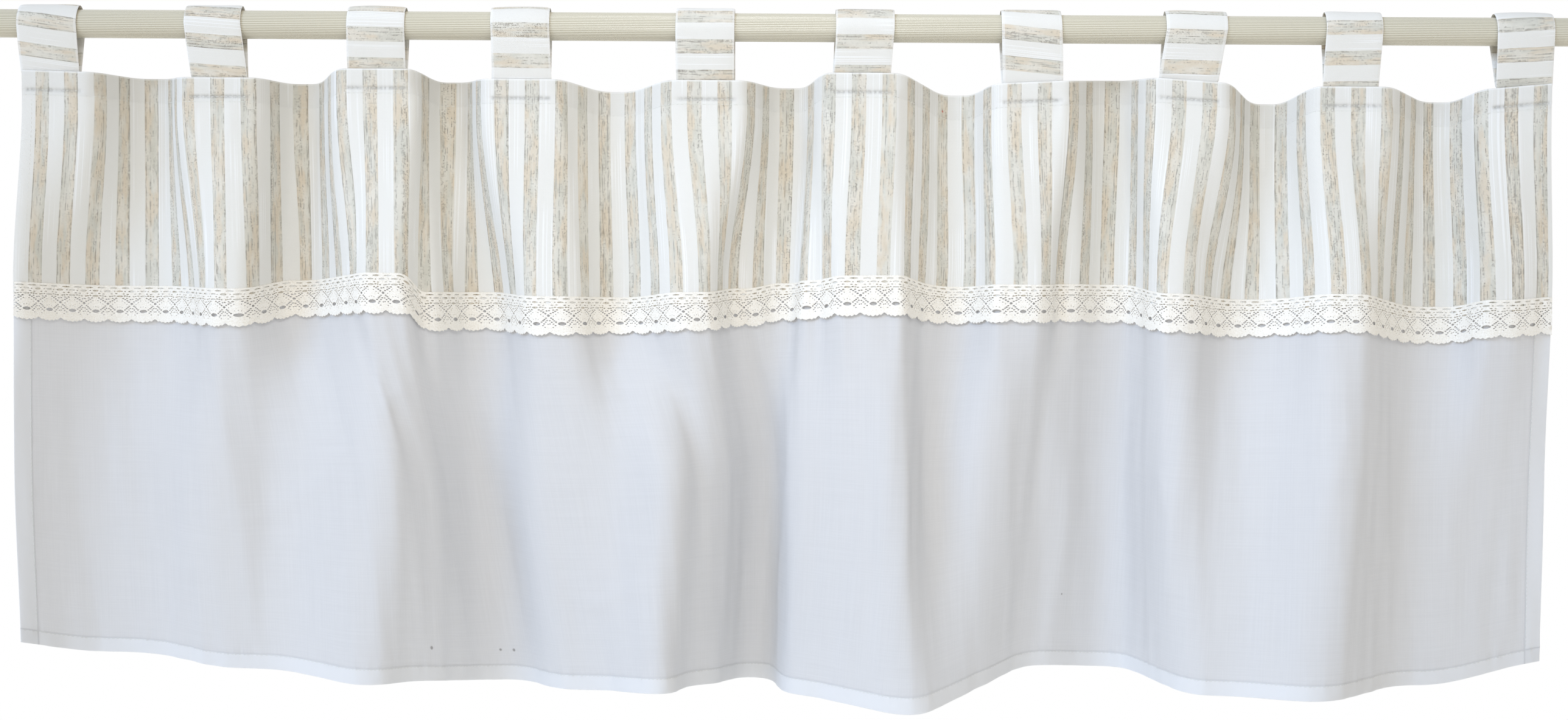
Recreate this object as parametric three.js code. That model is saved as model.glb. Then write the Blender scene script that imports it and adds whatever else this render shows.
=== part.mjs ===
// A short tab-top curtain on a ribbed rod: striped upper panel, lace edging and a sheer lower panel.
// Millimetres, +Z up. The front faces -Y, and the origin is on the rod's axis, half way along it.
import * as THREE from "three";

// Driving sizes
const ROD = { radius: 10.35, flutes: 24, fluteDepth: 0.25, length: 1250 };
const TAB = {
  seat: 45, // the stretch of heading that one tab holds straight
  pitch: 162,
  thickness: 1.9,
  clearance: 0.55,
  creaseRise: 1.95, // how far the crease over the rod stands off it
  creaseSpan: 50, // degrees to each side of the top
  meet: 3, // the two legs meet this far above the heading
  tail: 16,
  tailWidth: 38,
};
const COLUMN = 9; // cloth between two warp lines: five of them carry a tab, and two make one lace repeat
// Places down the cloth, from the heading's top edge
const DROPS = {
  headingHem: 18,
  lace: 153,
  sheerTop: 157,
  stripedEnd: 163,
  laceEnd: 182,
  middle: 300,
  sheerHem: 433,
  hem: 445,
};
const THICKNESS = { striped: 1.2, heading: 2, sheer: 1.1, sheerHem: 1.8, lace: 1.2 };
const PLY_GAP = 0.5; // between the faces of two cloths that lie on each other
const SEAT_DEPTH = -5; // the cloth in front of the tabs' tails; -Y is towards the front
const FLANK_STEPS = 36; // points along a flank between two folds
const SHARPEST_MITRE = 0.6;

// Half of one lace repeat, from the notch between two scallops to the middle of the scallop.
// "along" is a share of a column, "down" is in millimetres below the lace's top edge.
const LACE_HALF = {
  net: DROPS.stripedEnd - DROPS.lace,
  outline: [
    { along: 1, down: 20.2 },
    { along: 0.74, down: 20.9 },
    { along: 0.72, down: 22.5 },
    { along: 1, down: 23.2 },
    { along: 1, down: 28.2 },
    { along: 0.66, down: 29.3 },
    { along: 0, down: 26.1 },
  ],
};

// The ten loops: middle of the loop on the rod, sideways lean down to the heading, and width.
const TABS = [
  { x: -539, lean: 0, width: 43 },
  { x: -418, lean: 2.5, width: 41 },
  { x: -299, lean: -0.5, width: 42.5 },
  { x: -194, lean: 0, width: 43.5 },
  { x: -59, lean: 0.5, width: 42.5 },
  { x: 57.5, lean: -1.5, width: 42.5 },
  { x: 179, lean: 2, width: 44 },
  { x: 300.5, lean: -4.5, width: 44.5 },
  { x: 415, lean: 0, width: 41 },
  { x: 539.5, lean: 2.5, width: 42 },
];

// One row for each fold, from left to right, as the cloth falls from the heading to the lace band, the middle
// of the sheer and the hem. x, y and z are places at that level, and null where the fold has not started or
// has died out. flat is half of the fold's straight stretch, rise is how much higher the right end of a tab's
// seat is than the left, and round is how much of a flank next to the fold is curved. A shoulder is a step on
// a flank that starts below the heading.
const FOLD_COLUMNS = [
  "fold", "headX", "headZ", "rise", "bandX", "bandFlat", "bandY", "bandZ",
  "middleX", "middleY", "hemX", "hemY", "hemZ", "round",
];
const FOLDS = [
  ["left edge", -559, -33, 0, -566, 0, -9, -189, -566, -9, -563, -9, -456, 10],
  ["tab 1", -537, -35, -1, null, null, null, -189, null, null, null, null, null, 12],
  ["valley 1", -473, -38, 0, -477, 6, 36, -193, -501, 20, -501, 18, -468, 60],
  ["tab 2", -415, -39, 0, -407, 4, -10, -193, -406, -9, -396, -11, -474, 40],
  ["valley 2", -361, -41, 0, -368, 4, 34, -188, -382, 0, null, null, -478, 24],
  ["tab 3", -300, -32, 0, -292, 10, -18, -181, -285, -40, -300, -49, -478, 10],
  ["shoulder 3", null, null, null, -264, 2, 0, -195, -263, -20, -266, -24, -480, 6],
  ["valley 3", -251, -39, 0, -226, 5, 34, -196, -225, 28, -206, 26, -489, 16],
  ["tab 4", -194, -39, 0, -172, 8, -6, -198, -171, -10, -151, -14, -488, 24],
  ["valley 4", -126, -46, 0, -127, 4, 26, -199, -135, -13, null, null, -485, 20],
  ["tab 5", -58, -39, 0, -67, 8, -12, -194, -81, -34, -87, -50, -483, 12],
  ["shoulder 5", null, null, null, -33, 2, 20, -192, -55, -6, -61, -8, -485, 14],
  ["valley 5", 4, -42, 0, 1, 3, 31, -188, -13, 38, -20, 44, -490, 14],
  ["shoulder 6", null, null, null, 19, 1, 10, -185, 8, -6, 7, -16, -490, 12],
  ["tab 6", 56, -33, 0, 63, 19, -10, -181, 84, -36, 92, -56, -496, 10],
  ["valley 6", 129, -47, 0, 128, 4, 27, -190, 117, 2, null, null, -487, 30],
  ["tab 7", 181, -39, 2, 173, 13, -4, -187, 142, -5, null, null, -479, 24],
  ["shoulder 7", null, null, null, 210, 2, 16, -187, 202, 24, 193, 28, -476, 14],
  ["valley 7", 246, -35, 0, 251, 5, 36, -188, 249, 44, 247, 50, -481, 18],
  ["tab 8", 296, -37, -3, 285, 3, -7, -193, 292, -14, 313, -26, -487, 24],
  ["valley 8", 361, -52, 0, 351, 6, 28, -198, 328, -6, null, null, -490, 30],
  ["tab 9", 415, -41, 0, 412, 8, -10, -193, 401, -38, 387, -50, -486, 14],
  ["valley 9", 489, -50, 0, 493, 9, 40, -203, 483, 18, 477, 10, -486, 24],
  ["tab 10", 539, -40, 4, 531, 5, 12, -197, null, null, null, null, null, 16],
  ["right edge", 562, -37, 0, 575, 0, 24, -195, 580, 40, 578, 38, -473, 10],
].map((row) => Object.fromEntries(FOLD_COLUMNS.map((column, i) => [column, row[i]])));
const isSeat = (fold) => fold.fold.startsWith("tab");
const isEdge = (fold) => fold.fold.endsWith("edge");
const isShoulder = (fold) => fold.fold.startsWith("shoulder");
const CREST_FLAT = 5; // half of a ridge's or valley's straight stretch where the table gives none
const SHOULDER_FLAT = 2;
const HEADING_ROUND = 14;
const LEAST_SPAN = 1.05; // a shorter flank has its curved parts cut down to this share of it

const columns = Math.round(((TABS.length - 1) * TAB.pitch + TAB.seat) / COLUMN);
const clothWidth = columns * COLUMN;

const mix = (a, b, share) => a + (b - a) * share;

// The input at which a rising function reaches its target, by halving the range.
function solve(rising, target, low, high) {
  for (let i = 0; i < 40; i++) {
    const middle = (low + high) / 2;
    if (rising(middle) < target) low = middle;
    else high = middle;
  }
  return (low + high) / 2;
}

// How far a flank has come from one fold to the next: straight, but curved over its first and last part.
function flankShare(share, first, last) {
  const whole = 1 - (first + last) / 2;
  if (share < first) return (share * share) / (2 * first) / whole;
  if (share > 1 - last) return 1 - (1 - share) ** 2 / (2 * last) / whole;
  return (share - first / 2) / whole;
}

// A level line of the cloth: each fold is a straight stretch, and smooth flanks lead from one to the next.
function levelLine(stretches) {
  const line = [];
  stretches.forEach((from, i) => {
    line.push(new THREE.Vector3(from.left, from.y, from.zLeft));
    if (from.right > from.left) line.push(new THREE.Vector3(from.right, from.y, from.zRight));
    const to = stretches[i + 1];
    if (!to) return;
    const span = Math.max(to.left - from.right, (from.round + to.round) * LEAST_SPAN);
    for (let step = 1; step < FLANK_STEPS; step++) {
      const share = step / FLANK_STEPS;
      const eased = flankShare(share, from.round / span, to.round / span);
      line.push(
        new THREE.Vector3(
          mix(from.right, to.left, share),
          mix(from.y, to.y, eased),
          mix(from.zRight, to.zLeft, eased),
        ),
      );
    }
  });
  return line;
}

// How much cloth lies between the line's start and each of its points.
function clothAlong(line) {
  const along = [0];
  for (let i = 1; i < line.length; i++)
    along.push(along[i - 1] + Math.hypot(line[i].x - line[i - 1].x, line[i].y - line[i - 1].y));
  return along;
}

const clothIn = (stretches) => clothAlong(levelLine(stretches)).at(-1);

// At the heading each tab holds its seat straight, and the cloth between two seats falls back as far as
// its length needs.
function headingLine() {
  const stretches = FOLDS.filter((fold) => !isEdge(fold) && !isShoulder(fold)).map((fold) => {
    const half = isSeat(fold) ? TAB.seat / 2 : CREST_FLAT;
    return {
      left: fold.headX - half,
      right: fold.headX + half,
      y: SEAT_DEPTH,
      zLeft: fold.headZ - fold.rise / 2,
      zRight: fold.headZ + fold.rise / 2,
      round: HEADING_ROUND,
    };
  });
  const flat = (s, edge) => ({ ...s, left: s[edge], right: s[edge] });
  for (let i = 1; i < stretches.length; i += 2) {
    const around = (y) => [
      flat(stretches[i - 1], "right"),
      { ...stretches[i], y },
      flat(stretches[i + 1], "left"),
    ];
    stretches[i].y = solve((y) => clothIn(around(y)), TAB.pitch - TAB.seat, SEAT_DEPTH, TAB.pitch);
  }
  return levelLine(stretches);
}

// Lower down the folds are free, and all of them deepen together until they take up the cloth's width.
function freeLine(level, flatOf, zOf) {
  const stretches = (depthScale) =>
    FOLDS.filter((fold) => fold[level + "X"] !== null).map((fold) => {
      const half = isEdge(fold) ? 0 : flatOf(fold);
      const x = fold[level + "X"];
      const y = fold[level + "Y"] * depthScale;
      const z = zOf(fold);
      return { left: x - half, right: x + half, y, zLeft: z, zRight: z, round: fold.round };
    });
  const depthScale = solve((scale) => clothIn(stretches(scale)), clothWidth, 0.3, 3);
  return levelLine(stretches(depthScale));
}

const crestFlat = (fold) => (isShoulder(fold) ? SHOULDER_FLAT : CREST_FLAT);
const middleShare = (DROPS.middle - DROPS.lace) / (DROPS.hem - DROPS.lace);
const heading = headingLine();
const levels = [
  { drop: 0, line: heading },
  { drop: DROPS.headingHem, line: heading.map((p) => new THREE.Vector3(p.x, p.y, p.z - DROPS.headingHem)) },
  { drop: DROPS.lace, line: freeLine("band", (fold) => fold.bandFlat, (fold) => fold.bandZ) },
  {
    drop: DROPS.middle,
    line: freeLine("middle", crestFlat, (fold) => mix(fold.bandZ, fold.hemZ, middleShare)),
  },
  { drop: DROPS.hem, line: freeLine("hem", crestFlat, (fold) => fold.hemZ) },
];

// The point of a level line that has a given length of cloth before it.
function pointAlong(line, along, cloth) {
  const share = cloth * (along.at(-1) / clothWidth);
  let i = 1;
  while (i < line.length - 1 && along[i] < share) i++;
  return line[i - 1].clone().lerp(line[i], (share - along[i - 1]) / (along[i] - along[i - 1]));
}

// Each warp line's places at the levels, and the slopes that join them without overshoot.
const warps = Array.from({ length: columns + 1 }, (_, column) => {
  const points = levels.map(({ line }) => pointAlong(line, clothAlong(line), column * COLUMN));
  const slope = (axis, i) =>
    (points[i + 1][axis] - points[i][axis]) / (levels[i + 1].drop - levels[i].drop);
  const tangents = points.map((_, i) => {
    const last = points.length - 1;
    const joined = (axis) => {
      if (i === 0 || i === last) return slope(axis, i === 0 ? 0 : last - 1);
      const [before, after] = [slope(axis, i - 1), slope(axis, i)];
      return before * after <= 0 ? 0 : (2 * before * after) / (before + after);
    };
    return new THREE.Vector3(joined("x"), joined("y"), joined("z"));
  });
  return { points, tangents };
});

// The middle of the cloth on a warp line, a given drop below the heading's edge.
function onWarp(column, drop) {
  let i = 0;
  while (i < levels.length - 2 && levels[i + 1].drop < drop) i++;
  const span = levels[i + 1].drop - levels[i].drop;
  const t = (drop - levels[i].drop) / span;
  const { points, tangents } = warps[column];
  return new THREE.Vector3()
    .addScaledVector(points[i], 1 - t * t * (3 - 2 * t))
    .addScaledVector(points[i + 1], t * t * (3 - 2 * t))
    .addScaledVector(tangents[i], span * t * (1 - t) * (1 - t))
    .addScaledVector(tangents[i + 1], span * t * t * (t - 1));
}

// The step towards the front that keeps cloths parallel where they bend over a warp line.
function towardsFront(column, drop) {
  const here = onWarp(column, drop);
  const down = onWarp(column, drop + 1).sub(onWarp(column, drop - 1));
  const normals = [column - 1, column]
    .filter((left) => left >= 0 && left < columns)
    .map((left) => {
      const across = onWarp(left + 1, drop).sub(onWarp(left, drop));
      return down.clone().cross(across).normalize();
    });
  const normal = normals.reduce((sum, n) => sum.add(n), new THREE.Vector3()).normalize();
  const mitre = 1 / Math.max(SHARPEST_MITRE, normal.dot(normals[0]));
  return { here, normal: normal.multiplyScalar(mitre) };
}

function onCloth(along, drop, offset) {
  const left = Math.min(Math.floor(along + 1e-6), columns - 1);
  const sides = [left, left + 1].map((column) => {
    const { here, normal } = towardsFront(column, drop);
    return here.addScaledVector(normal, offset);
  });
  return sides[0].lerp(sides[1], along - left);
}

// A closed cloth: a front and a back on the folds, and a wall wherever a front triangle has no neighbour.
function clothGeometry(vertices, triangles) {
  const positions = [];
  for (const face of ["front", "back"])
    for (const { along, drop, [face]: offset } of vertices)
      positions.push(...onCloth(along, drop, offset).toArray());
  const back = vertices.length;
  const index = triangles.flatMap(([a, b, c]) => [a, b, c, a + back, c + back, b + back]);
  const edges = new Set(triangles.flatMap(([a, b, c]) => [`${a} ${b}`, `${b} ${c}`, `${c} ${a}`]));
  for (const edge of edges) {
    const [a, b] = edge.split(" ").map(Number);
    if (!edges.has(`${b} ${a}`)) index.push(b, a, a + back, b, a + back, b + back);
  }
  const geometry = new THREE.BufferGeometry();
  geometry.setAttribute("position", new THREE.Float32BufferAttribute(positions, 3));
  geometry.setIndex(index);
  geometry.computeVertexNormals();
  return geometry;
}

// A plain cloth: rows from top to bottom, each as wide as the curtain.
function panelGeometry(rows) {
  const vertices = rows.flatMap((row) =>
    Array.from({ length: columns + 1 }, (_, along) => ({ along, ...row(along) })),
  );
  const triangles = [];
  for (let row = 0; row < rows.length - 1; row++)
    for (let column = 0; column < columns; column++) {
      const a = row * (columns + 1) + column;
      const below = a + columns + 1;
      triangles.push([a, below, below + 1], [a, below + 1, a + 1]);
    }
  return clothGeometry(vertices, triangles);
}

function stripedPanelGeometry() {
  const front = THICKNESS.striped / 2;
  const row = (drop, thickness) => () => ({ drop, front, back: front - thickness });
  return panelGeometry([
    row(0, THICKNESS.heading),
    row(DROPS.headingHem - 1, THICKNESS.heading),
    row(DROPS.headingHem + 2, THICKNESS.striped),
    row(mix(DROPS.headingHem, DROPS.lace, 0.5), THICKNESS.striped),
    row(DROPS.lace, THICKNESS.striped),
    row(DROPS.stripedEnd, THICKNESS.striped),
  ]);
}

// The sheer hangs from behind the striped panel's lower edge, and is doubled at its sides and at its hem.
function sheerPanelGeometry() {
  const front = -THICKNESS.striped / 2 - PLY_GAP;
  const sideHem = (along) => Math.min(along, columns - along) <= 1;
  const row = (drop, thickness) => (along) => ({
    drop,
    front,
    back: front - (sideHem(along) ? THICKNESS.sheerHem : thickness),
  });
  const below = [0, 1 / 4, 1 / 2, 3 / 4].map((share) => mix(DROPS.laceEnd, DROPS.sheerHem, share));
  return panelGeometry([
    ...[DROPS.sheerTop, DROPS.stripedEnd, ...below].map((drop) => row(drop, THICKNESS.sheer)),
    row(DROPS.sheerHem, THICKNESS.sheerHem),
    row(DROPS.hem, THICKNESS.sheerHem),
  ]);
}

// The edging: a band of net above, and below it the scallops with one cut opening each.
function laceGeometry() {
  const back = THICKNESS.striped / 2 + PLY_GAP;
  const vertices = [];
  const known = new Map();
  const vertex = (column, { along, down }) => {
    const place = column % 2 ? column + 1 - along : column + along;
    const key = `${place.toFixed(4)} ${down}`;
    if (!known.has(key)) {
      known.set(key, vertices.length);
      vertices.push({ along: place, drop: DROPS.lace + down, front: back + THICKNESS.lace, back });
    }
    return known.get(key);
  };
  const { net, outline } = LACE_HALF;
  const scallop = [{ along: 0, down: net }, { along: 1, down: net }, ...outline];
  const contour = scallop.map((p) => new THREE.Vector2(p.along * COLUMN, -p.down));
  const cuts = THREE.ShapeUtils.triangulateShape(contour, []);
  const triangles = [];
  for (let column = 0; column < columns; column++) {
    const [left, right] = column % 2 ? [1, 0] : [0, 1];
    const corner = (along, down) => vertex(column, { along, down });
    const [topLeft, bottomLeft] = [corner(left, 0), corner(left, net)];
    const [topRight, bottomRight] = [corner(right, 0), corner(right, net)];
    triangles.push([topLeft, bottomLeft, bottomRight], [topLeft, bottomRight, topRight]);
    for (const cut of cuts) {
      const [a, b, c] = cut.map((n) => vertex(column, scallop[n]));
      const { [a]: p, [b]: q, [c]: r } = vertices;
      const turn = (q.along - p.along) * (p.drop - r.drop) - (r.along - p.along) * (p.drop - q.drop);
      triangles.push(turn > 0 ? [a, b, c] : [a, c, b]);
    }
  }
  return clothGeometry(vertices, triangles);
}

// A ribbed rod: shallow flutes all round, run along X, with plain cut ends.
function rodGeometry() {
  const points = Array.from({ length: ROD.flutes * 2 }, (_, i) => {
    const angle = (Math.PI * i) / ROD.flutes;
    const radius = ROD.radius - (i % 2 ? ROD.fluteDepth : 0);
    return new THREE.Vector2(radius * Math.cos(angle), radius * Math.sin(angle));
  });
  return alongRod(new THREE.Shape(points), ROD.length);
}

// A section drawn in the YZ plane, pushed out along X and centred on the origin.
function alongRod(section, length) {
  const geometry = new THREE.ExtrudeGeometry(section, { depth: length, bevelEnabled: false, steps: 1 });
  geometry.translate(0, 0, -length / 2);
  return geometry.applyMatrix4(
    new THREE.Matrix4().makeBasis(
      new THREE.Vector3(0, 1, 0),
      new THREE.Vector3(0, 0, 1),
      new THREE.Vector3(1, 0, 0),
    ),
  );
}

// One loop: a strip creased over the rod, whose two legs meet above the heading and run down behind it.
function tabGeometry({ width, lean }, headingZ) {
  const { thickness, clearance, creaseRise, creaseSpan, meet, tail, tailWidth } = TAB;
  const tailY = SEAT_DEPTH + THICKNESS.heading - THICKNESS.striped / 2 + PLY_GAP + thickness;
  const meetZ = headingZ + meet;
  const round = (extra) =>
    [-105, -85, -62, -42, -22, 0, 22, 42, 62, 85, 105].map((degrees) => {
      const angle = THREE.MathUtils.degToRad(degrees);
      const rise = creaseRise * Math.max(0, 1 - Math.abs(degrees) / creaseSpan);
      const radius = ROD.radius + clearance + rise + extra;
      return new THREE.Vector2(-radius * Math.sin(angle), radius * Math.cos(angle));
    });
  const section = new THREE.Shape([
    ...round(thickness),
    new THREE.Vector2(tailY - thickness, meetZ - 2),
    new THREE.Vector2(tailY - thickness, headingZ - 1),
    new THREE.Vector2(tailY - thickness, headingZ - tail),
    new THREE.Vector2(tailY + thickness, headingZ - tail),
    new THREE.Vector2(tailY + thickness, headingZ - 1),
    new THREE.Vector2(tailY + thickness, meetZ - 2),
  ]);
  section.holes.push(new THREE.Path([...round(0), new THREE.Vector2(tailY, meetZ)]));
  const geometry = alongRod(section, width);
  const position = geometry.getAttribute("position");
  for (let i = 0; i < position.count; i++) {
    const z = position.getZ(i);
    const share = z < headingZ ? tailWidth / width : 1;
    position.setX(i, position.getX(i) * share + lean * Math.max(0, z / headingZ));
  }
  geometry.computeVertexNormals();
  return geometry;
}

const stripedLinen = new THREE.MeshStandardMaterial({ color: 0xe6e1d8, roughness: 0.9, metalness: 0 });
const whiteVoile = new THREE.MeshStandardMaterial({ color: 0xe4e6ee, roughness: 0.85, metalness: 0 });
const cottonLace = new THREE.MeshStandardMaterial({ color: 0xf1ede2, roughness: 0.9, metalness: 0 });
const ivoryPaint = new THREE.MeshStandardMaterial({ color: 0xd9d5c4, roughness: 0.35, metalness: 0.1 });

function named(name, geometry, material) {
  const mesh = new THREE.Mesh(geometry, material);
  mesh.name = name;
  return mesh;
}

const loops = new THREE.Group();
const seats = FOLDS.filter(isSeat);
TABS.forEach((tab, i) => {
  const name = "tab_" + String(i + 1).padStart(2, "0");
  const seatTop = seats[i].headZ + Math.abs(seats[i].rise) / 2;
  const loop = named(name, tabGeometry(tab, seatTop), stripedLinen);
  loop.position.x = tab.x;
  loops.add(loop);
});

const cloth = new THREE.Group();
cloth.add(
  named("striped_panel", stripedPanelGeometry(), stripedLinen),
  named("sheer_panel", sheerPanelGeometry(), whiteVoile),
  named("lace_trim", laceGeometry(), cottonLace),
);

const curtain = new THREE.Group();
curtain.add(named("rod", rodGeometry(), ivoryPaint), loops, cloth);

export default curtain;
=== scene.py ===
import math

import bmesh
import bpy
import numpy as np
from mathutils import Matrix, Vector
from mathutils.geometry import delaunay_2d_cdt


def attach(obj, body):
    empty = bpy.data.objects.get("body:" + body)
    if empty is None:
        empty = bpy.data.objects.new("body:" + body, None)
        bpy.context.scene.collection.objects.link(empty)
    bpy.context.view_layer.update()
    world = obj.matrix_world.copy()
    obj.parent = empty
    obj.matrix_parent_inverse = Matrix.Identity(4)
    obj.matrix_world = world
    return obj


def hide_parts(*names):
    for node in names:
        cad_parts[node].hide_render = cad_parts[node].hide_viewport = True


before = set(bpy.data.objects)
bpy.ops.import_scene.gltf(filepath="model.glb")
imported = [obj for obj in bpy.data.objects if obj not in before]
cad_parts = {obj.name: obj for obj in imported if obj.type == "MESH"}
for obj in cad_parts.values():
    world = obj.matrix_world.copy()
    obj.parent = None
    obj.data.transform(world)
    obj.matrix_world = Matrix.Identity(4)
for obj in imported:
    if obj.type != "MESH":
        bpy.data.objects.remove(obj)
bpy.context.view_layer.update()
bpy.ops.object.select_all(action="DESELECT")
print("frame loaded:", len(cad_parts), "solids")

mm = 0.001


# The hang of the cloth, on the same folds as the solids

curtain = {
    "clothWidth": 1503,
    "seat": 45,  # stretch of heading that one tab holds straight
    "pitch": 162,
    "seatDepth": -5,
    "crestFlat": 5,
    "shoulderFlat": 2,
    "headRound": 14,
    "headingHem": 18,
    "laceTop": 153,
    "sheerTop": 157,
    "stripedEnd": 163,
    "laceEnd": 182,
    "middle": 300,
    "sheerHem": 433,
    "hem": 445,
    "flankSteps": 36,
    "acrossStep": 1.5,  # spacing of the master grid's columns
    "voileSoftness": 9,  # the voile rounds its folds off over about this much more of itself
    "softFrom": 185,
    "softBy": 250,
}

foldColumns = "fold headX headZ rise bandX bandFlat bandY bandZ".split()
foldColumns += "middleX middleY hemX hemY hemZ round headSlide bandSlide".split()
foldRows = [
    ("left edge", -559, -33, 0, -566, 0, -9, -189, -566, -9, -563, -9, -456, 10, None, None),
    ("tab 1", -537, -35, -1, None, None, None, -189, None, None, None, None, None, 12, 3, None),
    ("valley 1", -473, -38, 0, -477, 6, 36, -193, -501, 20, -501, 18, -468, 60, 2, 1),
    ("tab 2", -415, -39, 0, -407, 4, -10, -193, -406, -9, -396, -11, -474, 40, 12, 8),
    ("valley 2", -361, -41, 0, -368, 4, 34, -188, -382, 0, None, None, -478, 24, 1, -7),
    ("tab 3", -300, -32, 0, -292, 10, -18, -181, -285, -40, -300, -49, -478, 10, 10, 2),
    ("shoulder 3", None, None, None, -264, 2, 0, -195, -263, -20, -266, -24, -480, 6, None, 1),
    ("valley 3", -251, -39, 0, -226, 5, 34, -196, -225, 28, -206, 26, -489, 16, -4, -3),
    ("tab 4", -194, -39, 0, -172, 8, -6, -198, -171, -10, -151, -14, -488, 24, -8, -4),
    ("valley 4", -126, -46, 0, -127, 4, 26, -199, -135, -13, None, None, -485, 20, -3, -7),
    ("tab 5", -58, -39, 0, -67, 8, -12, -194, -81, -34, -87, -50, -483, 12, 4, -11),
    ("shoulder 5", None, None, None, -33, 2, 20, -192, -55, -6, -61, -8, -485, 14, None, -2),
    ("valley 5", 4, -42, 0, 1, 3, 31, -188, -13, 38, -20, 44, -490, 14, 4, 2),
    ("shoulder 6", None, None, None, 19, 1, 10, -185, 8, -6, 7, -16, -490, 12, None, -3),
    ("tab 6", 56, -33, 0, 63, 19, -10, -181, 84, -36, 92, -56, -496, 10, -8, -6),
    ("valley 6", 129, -47, 0, 128, 4, 27, -190, 117, 2, None, None, -487, 30, 6, 0),
    ("tab 7", 181, -39, 2, 173, 13, -4, -187, 142, -5, None, None, -479, 24, -2, -8),
    ("shoulder 7", None, None, None, 210, 2, 16, -187, 202, 24, 193, 28, -476, 14, None, -1),
    ("valley 7", 246, -35, 0, 251, 5, 36, -188, 249, 44, 247, 50, -481, 18, -11, -4),
    ("tab 8", 296, -37, -3, 285, 3, -7, -193, 292, -14, 313, -26, -487, 24, -13, 2),
    ("valley 8", 361, -52, 0, 351, 6, 28, -198, 328, -6, None, None, -490, 30, -4, 4),
    ("tab 9", 415, -41, 0, 412, 8, -10, -193, 401, -38, 387, -50, -486, 14, -8, -3),
    ("valley 9", 489, -50, 0, 493, 9, 40, -203, 483, 18, 477, 10, -486, 24, 7, 8),
    ("tab 10", 539, -40, 4, 531, 5, 12, -197, None, None, None, None, None, 16, -2, 0),
    ("right edge", 562, -37, 0, 575, 0, 24, -195, 580, 40, 578, 38, -473, 10, None, None),
]
folds = [dict(zip(foldColumns, row)) for row in foldRows]


def mix(a, b, share):
    return a + (b - a) * share


def smooth(share):
    share = np.clip(share, 0, 1)
    return share * share * (3 - 2 * share)


def solve(rising, target, low, high):
    for _ in range(40):
        middle = (low + high) / 2
        if rising(middle) < target:
            low = middle
        else:
            high = middle
    return (low + high) / 2


def flankShare(share, first, last):
    # a straight flank: its slope grows over the first part and dies away over the last
    whole = 1 - (first + last) / 2
    if share < first:
        return share * share / (2 * first) / whole
    if share > 1 - last:
        return 1 - (1 - share) ** 2 / (2 * last) / whole
    return (share - first / 2) / whole


def levelLine(stretches):
    points = []
    for here, after in zip(stretches, stretches[1:] + [None]):
        points.append((here["left"], here["y"], here["zLeft"]))
        if here["right"] > here["left"]:
            points.append((here["right"], here["y"], here["zRight"]))
        if after is None:
            break
        span = after["left"] - here["right"]
        reach = max(span, (here["round"] + after["round"]) * 1.05)
        for step in range(1, curtain["flankSteps"]):
            share = step / curtain["flankSteps"]
            eased = flankShare(share, here["round"] / reach, after["round"] / reach)
            points.append(
                (
                    mix(here["right"], after["left"], share),
                    mix(here["y"], after["y"], eased),
                    mix(here["zRight"], after["zLeft"], eased),
                )
            )
    return np.array(points, float)


def clothAlong(line):
    # how far along a line each of its points lies, by its first two numbers
    steps = np.hypot(np.diff(line[:, 0]), np.diff(line[:, 1]))
    return np.concatenate([[0], np.cumsum(steps)])


def headingLine():
    stretches = []
    for fold in folds:
        if "edge" in fold["fold"] or fold["headX"] is None:
            continue
        half = curtain["seat"] / 2 if "tab" in fold["fold"] else curtain["crestFlat"]
        stretches.append(
            {
                "left": fold["headX"] - half,
                "right": fold["headX"] + half,
                "y": curtain["seatDepth"],
                "zLeft": fold["headZ"] - fold["rise"] / 2,
                "zRight": fold["headZ"] + fold["rise"] / 2,
                "round": curtain["headRound"],
            }
        )
    for i in range(1, len(stretches), 2):

        def clothBetween(y):
            before = dict(stretches[i - 1], left=stretches[i - 1]["right"])
            after = dict(stretches[i + 1], right=stretches[i + 1]["left"])
            return clothAlong(levelLine([before, dict(stretches[i], y=y), after]))[-1]

        gap = curtain["pitch"] - curtain["seat"]
        stretches[i]["y"] = solve(clothBetween, gap, curtain["seatDepth"], curtain["pitch"])
    return levelLine(stretches)


def freeLine(level, flatOf, zOf):
    def stretches(depthScale):
        made = []
        for fold in folds:
            if fold[level + "X"] is None:
                continue
            half = 0 if "edge" in fold["fold"] else flatOf(fold)
            x, z = fold[level + "X"], zOf(fold)
            y = fold[level + "Y"] * depthScale
            made.append(
                {"left": x - half, "right": x + half, "y": y, "zLeft": z, "zRight": z, "round": fold["round"]}
            )
        return made

    width = curtain["clothWidth"]
    depthScale = solve(lambda s: clothAlong(levelLine(stretches(s)))[-1], width, 0.3, 3)
    print(level, "folds deepened by", round(depthScale, 3))
    return levelLine(stretches(depthScale))


def crestFlat(fold):
    return curtain["shoulderFlat"] if "shoulder" in fold["fold"] else curtain["crestFlat"]


middleShare = (curtain["middle"] - curtain["laceTop"]) / (curtain["hem"] - curtain["laceTop"])
heading = headingLine()
levels = [
    (0, heading),
    (curtain["headingHem"], heading - [0, 0, curtain["headingHem"]]),
    (curtain["laceTop"], freeLine("band", lambda f: f["bandFlat"], lambda f: f["bandZ"])),
    (curtain["middle"], freeLine("middle", crestFlat, lambda f: mix(f["bandZ"], f["hemZ"], middleShare))),
    (curtain["hem"], freeLine("hem", crestFlat, lambda f: f["hemZ"])),
]


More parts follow.
